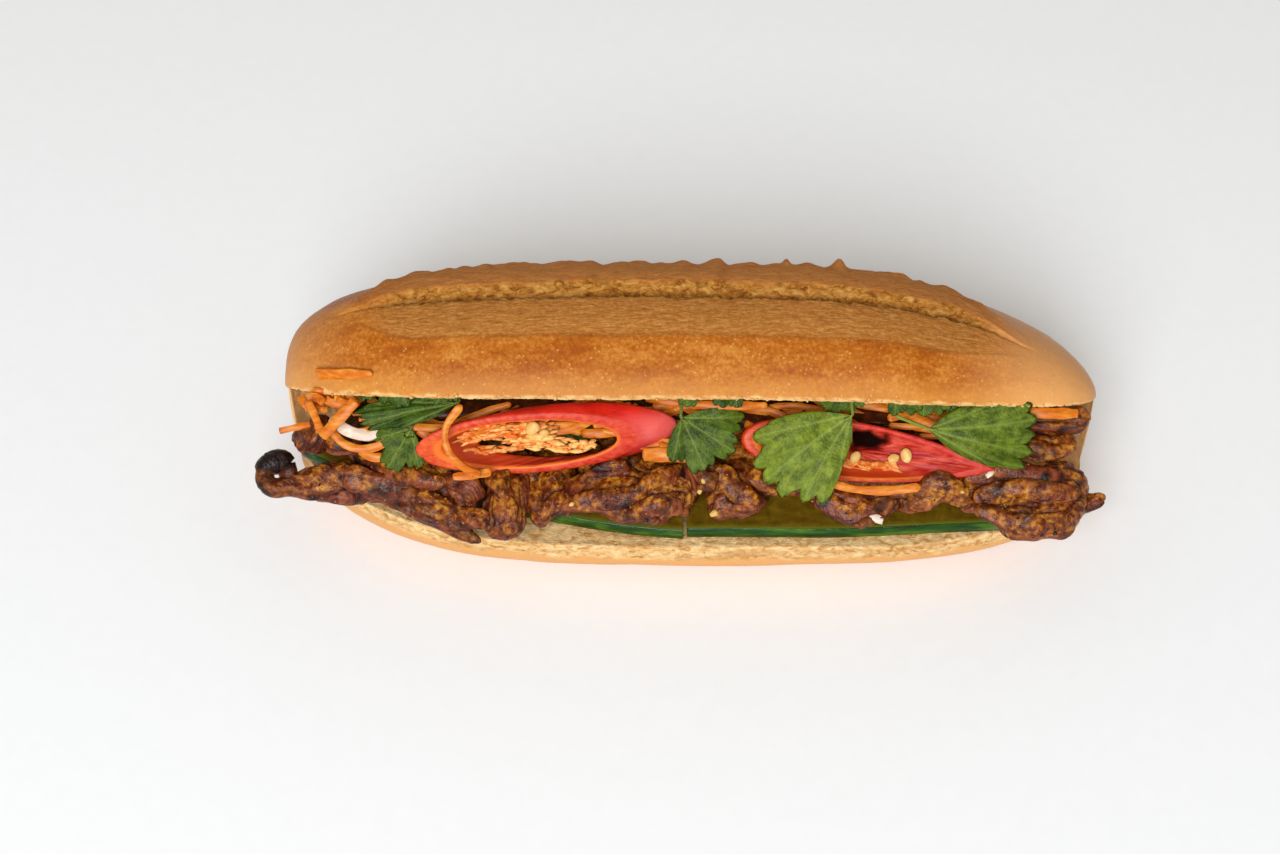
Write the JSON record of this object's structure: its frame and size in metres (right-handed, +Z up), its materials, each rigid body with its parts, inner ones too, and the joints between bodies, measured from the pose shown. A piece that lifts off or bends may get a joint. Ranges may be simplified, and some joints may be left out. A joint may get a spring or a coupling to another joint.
{
  "type": "banh mi sandwich",
  "caption": "Split bread roll hinged along its back, filled with cucumber, grilled meat, slanting red chilli slices, carrot shreds, onion and coriander leaves.",
  "frame": {"origin": "middle of the flat base that the roll stands on, at Z = 0", "axes": "+X along the roll, from its blunt end with the curled meat tip to its tapered end; the open side faces -Y and the hinge is at +Y; +Z up"},
  "size_m": [0.2437, 0.0859, 0.0764],
  "materials": {
    "crust": "baked crust, matte to satin, golden brown with a paler torn score and a pale crumb at the cut",
    "cucumber": "wet cucumber, translucent olive-green flesh with a dark green skin on its front edge",
    "meat": "glazed grilled meat, dark red-brown and mustard-brown, charred black at thin edges",
    "chilli": "glossy red chilli skin with an orange-red cut face",
    "carrot": "moist orange carrot shreds",
    "onion": "pale pickled onion or radish",
    "coriander": "fresh coriander leaf, mid green and slightly glossy"
  },
  "bodies": {
    "root": {"bread": "crust", "carrot_heap": "carrot", "carrot_shred_arc": "carrot", "carrot_shred_cross": "carrot", "carrot_shred_down": "carrot", "carrot_shred_flat": "carrot", "carrot_shred_low": "carrot", "carrot_shred_middle": "carrot", "carrot_shred_on_crust": "carrot", "carrot_shred_over_chilli": "carrot", "carrot_shred_rim_middle": "carrot", "carrot_shred_rim_right": "carrot", "carrot_shred_tip": "carrot", "carrot_shred_under_chilli": "carrot", "chilli_ring_left": "chilli", "chilli_tip_right": "chilli", "coriander_leaf_front": "coriander", "coriander_leaf_inside": "coriander", "coriander_leaf_left": "coriander", "coriander_leaf_middle": "coriander", "coriander_leaf_right": "coriander", "coriander_leaf_rim": "coriander", "cucumber_slice_left": "cucumber", "cucumber_slice_left_end": "cucumber", "cucumber_slice_right": "cucumber", "meat_arch_right": "meat", "meat_bite_left": "meat", "meat_bite_left_end": "meat", "meat_bite_middle": "meat", "meat_crackling_left": "meat", "meat_crackling_middle": "meat", "meat_crackling_right": "meat", "meat_end_right": "meat", "meat_fold_left": "meat", "meat_fold_middle": "meat", "meat_fold_right": "meat", "meat_slab_right": "meat", "meat_slice_left": "meat", "meat_strip_curled": "meat", "meat_strip_right": "meat", "meat_tip_right": "meat", "onion_crescent": "onion", "onion_strip": "onion"}
  },
  "joints": []
}
